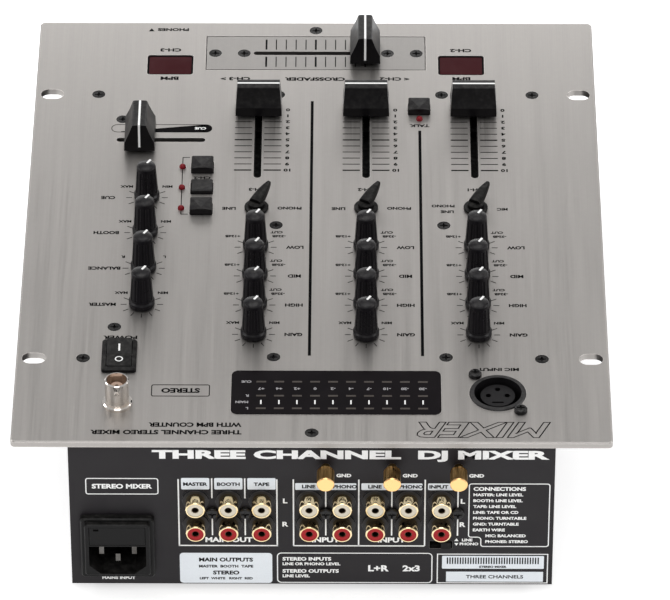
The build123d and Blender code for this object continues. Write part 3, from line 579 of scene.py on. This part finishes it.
def knob_legends(pieces):
    names = {"low": "LOW", "mid": "MID", "high": "HIGH", "gain": "GAIN", "phones": "CUE",
             "booth": "BOOTH", "balance": "BALANCE", "master": "MASTER"}
    for node in KNOBS:
        x, y = face_place(node)
        key = node.split("_")[0]
        side = 17.2 if key in ("phones", "booth", "balance", "master") else -17.2
        settle(lettering(names[key], 2.2), on_face(x + side, y), pieces)
        if key in ("low", "mid", "high"):
            settle(lettering("-32dB", 1.6, 1.2), on_face(x - 10.2, y - 8.0), pieces)
            settle(lettering("CUT", 1.6, 1.3), on_face(x - 9.1, y - 10.9), pieces)
            settle(lettering("+12dB", 1.6, 1.2), on_face(x + 10.1, y - 8.0), pieces)
        else:
            least, most = ("L", "R") if key == "balance" else ("MIN", "MAX")
            settle(lettering(least, 1.7), on_face(x - 8.9, y - 8.2), pieces)
            settle(lettering(most, 1.7), on_face(x + 9.2, y - 8.2), pieces)


def channel_legends(pieces):
    lever_y = -10.7
    for index, x in enumerate(channel_x):
        settle(lettering(f"CH-{index + 1}", 2.2), on_face(x, -24.4), pieces)
        if index == 0:
            settle(lettering("PHONO", 1.9), on_face(x + 14.4, lever_y - 1.8), pieces)
            settle(lettering("LINE", 1.9), on_face(x + 12.6, lever_y + 2.4), pieces)
            settle(lettering("MIC", 1.9), on_face(x - 11.8, lever_y + 0.5), pieces)
        else:
            settle(lettering("LINE", 2.0), on_face(x + 12.2, lever_y + 0.3), pieces)
            settle(lettering("PHONO", 2.0), on_face(x - 14.6, lever_y), pieces)


def loose_legends(pieces):
    """Single words: text, height, x and y."""
    words = [
        ("CROSSFADER", 2.6, 0.3, -108.1), ("CH-3 >", 2.5, 36.5, -108.3), ("< CH-2", 2.5, -36.0, -108.3),
        ("CH-3", 2.5, 66.5, -130.6), ("BPM", 2.6, 66.5, -108.5), ("CH-2", 2.5, -66.4, -130.6),
        ("BPM", 2.6, -66.4, -108.5), ("PHONES", 2.2, 65.7, -146.7), ("POWER", 2.4, 82.8, 81.7),
        ("TALK", 2.0, -47.1, -72.4), ("MIC INPUT", 2.1, -79.5, 103.2), ("CH-3", 1.9, 50.0, -47.9),
        ("CH-2", 1.9, 50.0, -32.9), ("CH-1", 1.9, 50.0, -17.6),
    ]
    for text, height, x, y in words:
        settle(lettering(text, height, 1.35), on_face(x, y), pieces)


def cue_wedge(pieces):
    """Wedge that swells towards CUE, inside a thin rounded outline."""
    settle(flat_plate(45.4, 6.0, 2.9, line=0.3), on_face(69.0, -70.0), pieces)
    settle(flat_disc(2.9), on_face(49.3, -70.0), pieces)
    settle(flat_shape([(-19.0, -2.9), (19.0, 2.4), (19.0, 2.9), (-19.0, 2.9)]), on_face(68.3, -70.0), pieces)


def arrow_head(size):
    """Flat triangle that points along +Y."""
    return flat_shape([(-0.87 * size, -0.5 * size), (0.87 * size, -0.5 * size), (0.0, size)])


def socket_arrow(pieces):
    """Small triangle beside PHONES that points to the front wall."""
    settle(arrow_head(1.5), on_face(75.7, -146.1) @ turned(math.pi), pieces)


def divider_lines(pieces):
    settle(flat_plate(1.3, 185.0), on_face(1.35, 1.5), pieces)
    settle(flat_plate(1.3, 162.7), on_face(-47.2, 12.75), pieces)


def plate_outlines(pieces):
    """Dark line painted as the shade in the gap round the crossfader plate, and dark rims on the two tempo windows."""
    low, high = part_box("crossfader_plate")
    width = (high.x - low.x) / MM + 0.3
    depth = (high.y - low.y) / MM + 0.3
    # Painted shade: a dark outline stands in for the shade in the thin gap round the crossfader plate.
    settle(flat_plate(width, depth, line=0.28), on_face(*face_place("crossfader_plate")), pieces)
    for x in (-66.4, 66.4):
        settle(flat_plate(20.8, 15.0, 1.4, line=0.8), on_face(x, -119.0, -0.4), pieces)


def lamp_links(pieces):
    """Thin line that joins the three cue lamps, with a hook at each end."""
    x = 58.9
    settle(flat_plate(0.4, 42.1), on_face(x, -27.1), pieces)
    for y in (-48.1, -6.1):
        settle(flat_plate(3.2, 0.4), on_face(x - 1.5, y), pieces)


def face_legends():
    pieces = []
    for print_part in (fader_scales, crossfader_scale, knob_rings, knob_legends, channel_legends,
                       loose_legends, cue_wedge, socket_arrow, divider_lines, plate_outlines, lamp_links):
        print_part(pieces)
    settle(lettering("MIXER", 10.6, width=57.0, hollow=True), on_face(-72.7, 144.0), pieces)
    settle(lettering("THREE CHANNEL STEREO MIXER", 2.9, width=63.8), on_face(61.5, 146.0), pieces)
    settle(lettering("WITH BPM COUNTER", 2.9, width=39.3), on_face(49.3, 141.0), pieces)
    settle(flat_plate(25.0, 8.0, 1.0, line=0.4), on_face(56.0, 118.0), pieces)
    settle(lettering("STEREO", 3.2), on_face(56.0, 118.0), pieces)
    join(pieces, "face_legends", BLACK_INK)
    reversed_word = []
    settle(lettering("CUE", 1.8), on_face(51.6, -70.0, INK / MM), reversed_word)
    join(reversed_word, "cue_word", WHITE_INK)


face_legends()


# ---- Marks in the level-meter window ----
def meter_marks():
    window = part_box("meter_window")[1].z
    lift = (window - face_top) / MM
    bars, dividers, words = [], [], []
    unlit = flat_plate(4.2, 1.1, 0.2)
    divider = flat_plate(0.6, 2.7)
    levels = ("+7", "+4", "+2", "0", "-2", "-4", "-7", "-10", "-20", "-30")
    for column, level in enumerate(levels):
        x = 21.7 - 7.65 * column
        for y in (112.2, 121.7, 130.2):
            stamp(unlit, on_face(x, y, lift), bars)
        stamp(divider, on_face(x, 126.0, lift), dividers)
        settle(lettering(level, 1.7), on_face(x, 116.9, lift), words)
    for word, x, y in (("CUE", 28.0, 112.2), ("R", 27.6, 121.7), ("MAIN", 29.8, 126.0), ("L", 27.6, 130.2)):
        settle(lettering(word, 1.5), on_face(x, y, lift), words)
    discard(unlit, divider)
    join(bars, "meter_bars", GREY_INK)
    join(dividers, "meter_dividers", WHITE_INK)
    join(words, "meter_words", METER_INK)


meter_marks()


# ---- Print and labels on the back wall ----
def column_frames(pieces):
    """Thin white lines that box in the groups of sockets."""
    tall = flat_plate(0.6, 36.8)
    short = flat_plate(0.6, 11.0)
    for x in (56.6, 14.8, 7.8, -19.95, -48.1):
        stamp(tall, on_back(x, 40.4), pieces)
    for x in (42.4, 28.4):
        stamp(short, on_back(x, 27.0), pieces)
        stamp(short, on_back(x, 47.5), pieces)
    for x in (-5.93, -34.0, -62.1):
        stamp(short, on_back(x, 33.2), pieces)
        stamp(short, on_back(x, 47.5), pieces)
    discard(tall, short)
    for x, width in ((35.7, 42.4), (-6.1, 28.0), (-34.0, 28.0)):
        settle(flat_plate(width, 0.6), on_back(x, 58.8), pieces)


def socket_words(pieces):
    """White words round the sockets: text, height, x, drop below the face plate."""
    words = [
        ("L", 2.6, 11.3, 33.9), ("R", 2.6, 11.3, 46.8), ("L", 2.6, -64.2, 33.9), ("R", 2.6, -64.2, 46.8),
        ("MAIN OUT", 2.8, 35.4, 55.5), ("INPUT", 2.8, -5.9, 55.5), ("INPUT", 2.8, -34.0, 55.5),
        ("GND", 1.9, -13.6, 19.8), ("GND", 1.9, -41.7, 19.8), ("GND", 1.9, -69.8, 19.8),
        ("LINE", 1.5, -66.3, 55.4), ("PHONO", 1.5, -67.1, 57.6), ("MAINS INPUT", 1.6, 82.9, 77.0),
    ]
    for text, height, x, drop in words:
        settle(lettering(text, height), on_back(x, drop), pieces)
    settle(lettering("THREE CHANNEL  DJ MIXER", 6.2, width=168.0, weight=0.05), on_back(-16.5, 9.1), pieces)


def outlined_boxes(pieces):
    """Rounded outlines of the two note boxes and the label place, with plain notes in them."""
    block = [(-17.3, -12.4), (-12.0, -12.4), (-12.0, -17.6), (17.3, -17.6), (17.3, 17.6), (-17.3, 17.6)]
    settle(flat_shape(block, 1.3, line=0.45), on_back(-83.9, 41.6), pieces)
    settle(flat_plate(66.6, 17.0, 2.0, line=0.45), on_back(-18.3, 71.2), pieces)
    settle(flat_plate(47.6, 16.6, line=0.45), on_back(-77.3, 71.4), pieces)
    guide = ("CONNECTIONS", "MASTER: LINE LEVEL", "BOOTH: LINE LEVEL", "TAPE: LINE LEVEL", "LINE: TAPE OR CD",
             "PHONO: TURNTABLE", "GND: TURNTABLE", "EARTH WIRE", "MIC: BALANCED", "PHONES: STEREO")
    for row, text in enumerate(guide):
        height = 2.1 if row == 0 else 1.6
        indent = 74.0 if row > 7 else 68.6
        words = lettering(text, height)
        settle(words, on_back(-indent - width_of(words) / 2, 27.0 + 3.25 * row), pieces)
    notes = (("STEREO INPUTS", 2.0, 66.2), ("LINE OR PHONO LEVEL", 1.6, 69.0), ("STEREO OUTPUTS", 2.0, 73.0),
             ("LINE LEVEL", 1.6, 75.8))
    for text, height, drop in notes:
        words = lettering(text, height)
        settle(words, on_back(12.6 - width_of(words) / 2, drop), pieces)
    for offset, text in ((-28.5, "L+R"), (-42.5, "2x3")):
        settle(lettering(text, 3.4), on_back(offset, 71.4), pieces)
    settle(flat_plate(31.0, 9.0, 1.2, line=0.45), on_back(80.5, 26.0), pieces)
    settle(lettering("STEREO MIXER", 2.6), on_back(80.5, 26.0), pieces)


def slider_arrows(pieces):
    """Pair of small arrow heads beside the line and phono words."""
    settle(arrow_head(1.0), on_back(-61.7, 55.5), pieces)
    settle(arrow_head(1.0), on_back(-61.7, 57.6) @ turned(math.pi), pieces)


def back_labels():
    """White print, white label fields and the black words on them."""
    print_pieces, fields, words = [], [], []
    for draw in (column_frames, socket_words, outlined_boxes, slider_arrows):
        draw(print_pieces)
    join(print_pieces, "back_print", WHITE_INK)
    for x, text in ((49.4, "MASTER"), (35.35, "BOOTH"), (21.3, "TAPE")):
        settle(flat_plate(12.0, 6.3, 0.6), on_back(x, 24.5), fields)
        settle(lettering(text, 1.9), on_back(x, 24.7, INK / MM), words)
    for x in (-5.93, -34.0):
        settle(flat_plate(25.9, 3.7, 0.5), on_back(x, 25.9), fields)
        settle(lettering("LINE", 1.9), on_back(x + 7.2, 25.9, INK / MM), words)
        settle(lettering("PHONO", 1.9), on_back(x - 8.2, 25.9, INK / MM), words)
    settle(flat_plate(11.6, 3.7, 0.5), on_back(-55.1, 25.9), fields)
    settle(lettering("INPUT", 1.9), on_back(-53.9, 25.9, INK / MM), words)
    settle(flat_plate(39.6, 16.9, 1.6), on_back(36.8, 71.4), fields)
    settle(flat_plate(43.6, 7.2, 0.4), on_back(-77.5, 67.9), fields)
    settle(flat_plate(41.6, 5.6, 0.2), on_back(-78.3, 76.0), fields)
    for mark in range(36):
        settle(flat_plate(0.55, 3.6), on_back(-58.0 - mark * 1.11, 67.0, INK / MM), words)
    settle(lettering("STEREO MIXER", 1.2), on_back(-77.5, 70.4, INK / MM), words)
    settle(lettering("THREE CHANNELS", 1.9, weight=0.02), on_back(-78.3, 76.0, INK / MM), words)
    settle(lettering("MAIN OUTPUTS", 2.2), on_back(36.8, 66.7, INK / MM), words)
    settle(lettering("MASTER  BOOTH  TAPE", 1.5), on_back(36.8, 70.4, INK / MM), words)
    settle(lettering("STEREO", 2.2), on_back(36.8, 74.0, INK / MM), words)
    settle(lettering("LEFT  WHITE   RIGHT  RED", 1.3), on_back(36.8, 77.2, INK / MM), words)
    join(fields, "back_label_fields", LABEL_WHITE)
    join(words, "back_label_words", BLACK_INK)


back_labels()


# ---- Contacts inside the phono sockets ----
def phono_contacts():
    """Dark spring sleeve inside every phono socket."""
    deselect()
    bpy.ops.mesh.primitive_cylinder_add(vertices=24, radius=1.56 * MM, depth=4.0 * MM, end_fill_type="NOTHING")
    sleeve = bpy.context.object
    wall = sleeve.modifiers.new("wall", "SOLIDIFY")
    wall.thickness = 0.22 * MM
    bpy.ops.object.modifier_apply(modifier="wall")
    pieces = []
    for mount in frame["record"]["mounts"]:
        if mount["kind"] != "bore" or mount["name"].startswith("headphone"):
            continue
        x, _, z = mount["pos_m"]
        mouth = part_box("phono_inserts")[1].y - 0.3 * MM
        upright = Matrix.Rotation(math.pi / 2, 4, "X")
        stamp(sleeve, Matrix.Translation((x, mouth - 2.0 * MM, z)) @ upright, pieces)
    discard(sleeve)
    join(pieces, "phono_contacts", CONTACT)


phono_contacts()


# ---- Pointers and stripes on the moving pieces ----
def knob_pointers():
    """Short white bar on top of every knob, pointing at the first mark."""
    bar = flat_plate(0.95, 3.0, 0.15, thickness=0.25)
    for node in KNOBS:
        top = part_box(node)[1].z
        middle = (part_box(node)[0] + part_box(node)[1]) / 2
        place = Matrix.Translation((middle.x, middle.y, top - 0.2 * MM))
        pieces = []
        stamp(bar, place @ turned(REST_TURN) @ Matrix.Translation((0, 2.2 * MM, 0)), pieces)
        join(pieces, f"{node}_pointer", WHITE_INK, node)
    discard(bar)


knob_pointers()


def cap_stripes():
    """White line over the ridge of every fader cap and down both of its ends."""
    ridge_bar = flat_plate(0.95, 19.0)
    end_bar = flat_plate(0.95, 11.5)
    lean = math.atan(0.95 / 12.9)
    down_end = Matrix.Translation((0, 9.95 * MM, -5.8 * MM)) @ Matrix.Rotation(lean - math.pi / 2, 4, "X")
    for node in CAPS:
        low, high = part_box(node)
        crossways = math.pi / 2 if node.startswith("channel") else 0.0
        place = Matrix.Translation(((low.x + high.x) / 2, (low.y + high.y) / 2, high.z)) @ turned(crossways)
        pieces = []
        stamp(ridge_bar, place, pieces)
        stamp(end_bar, place @ down_end, pieces)
        stamp(end_bar, place @ turned(math.pi) @ down_end, pieces)
        join(pieces, f"{node}_stripe", WHITE_INK, node)
    discard(ridge_bar, end_bar)


cap_stripes()


def rocker_marks():
    """White bar on the raised half of the rocker and a ring on the other."""
    axis_z = 0.9
    flat = 1.2
    tilt = math.radians(20)
    pieces = []
    settle(flat_disc(1.75, line=0.5), on_face(82.8, 95.5 + 3.6, axis_z + flat), pieces)
    slope = on_face(82.8, 95.5, axis_z) @ Matrix.Rotation(-tilt, 4, "X")
    settle(flat_plate(0.8, 3.6), slope @ Matrix.Translation((0, -3.6 * MM, flat * MM)), pieces)
    join(pieces, "rocker_marks", WHITE_INK, "power_rocker")


rocker_marks()


# ---- Stage, lights and camera ----
def plain_floor():
    deselect()
    bpy.ops.mesh.primitive_plane_add(size=12.0)
    floor = bpy.context.object
    floor.name = "floor"
    sweep = printed_ink("pale_floor", (0.82, 0.82, 0.82), 0.8)
    glow = sweep.node_tree.nodes["Principled BSDF"].inputs
    glow["Emission Color"].default_value = (1.0, 1.0, 1.0, 1.0)
    glow["Emission Strength"].default_value = 0.62
    floor.data.materials.append(sweep)


def soft_light(name, place, aim, size, power, color=(1.0, 1.0, 1.0)):
    light = bpy.data.lights.new(name, "AREA")
    light.shape = "RECTANGLE"
    light.size, light.size_y = size
    light.energy = power
    light.color = color
    lamp = bpy.data.objects.new(name, light)
    lamp.location = place
    lamp.rotation_euler = (Vector(aim) - Vector(place)).to_track_quat("-Z", "Y").to_euler()
    bpy.context.scene.collection.objects.link(lamp)


def studio():
    world = bpy.data.worlds.new("studio")
    world.use_nodes = True
    world.node_tree.nodes["Background"].inputs["Color"].default_value = (1.0, 1.0, 1.0, 1.0)
    world.node_tree.nodes["Background"].inputs["Strength"].default_value = 0.4
    bpy.context.scene.world = world
    soft_light("overhead_softbox", (0.1, -0.3, 1.9), (0.0, 0.0, 0.05), (1.6, 1.2), 13.0)
    soft_light("low_far_strip", (0.0, -0.66, 0.3), (0.0, -0.1, 0.09), (1.0, 0.2), 1.7)
    soft_light("left_strip", (1.1, 0.1, 0.5), (0.0, 0.0, 0.09), (1.0, 0.2), 3.5)
    soft_light("right_strip", (-1.1, 0.1, 0.5), (0.0, 0.0, 0.09), (1.0, 0.2), 3.5)
    soft_light("camera_side_fill", (0.0, 1.6, 2.2), (0.0, 0.2, 0.0), (1.6, 1.0), 12.0)
    bpy.context.scene.view_settings.view_transform = "Standard"


def photo_camera():
    aim = Vector((-0.0093, -0.0013, 0.045))
    distance = 2.64
    elevation = math.radians(38.02)
    swing = math.radians(0.22)
    back = Vector((-math.sin(swing) * math.cos(elevation), math.cos(swing) * math.cos(elevation),
                   math.sin(elevation)))
    camera = bpy.data.objects.new("camera", bpy.data.cameras.new("camera"))
    camera.data.lens = 318.86
    camera.data.sensor_width = 36.0
    camera.location = aim + back * distance
    camera.rotation_euler = back.to_track_quat("Z", "Y").to_euler()
    bpy.context.scene.collection.objects.link(camera)
    bpy.context.scene.camera = camera


plain_floor()
studio()
photo_camera()
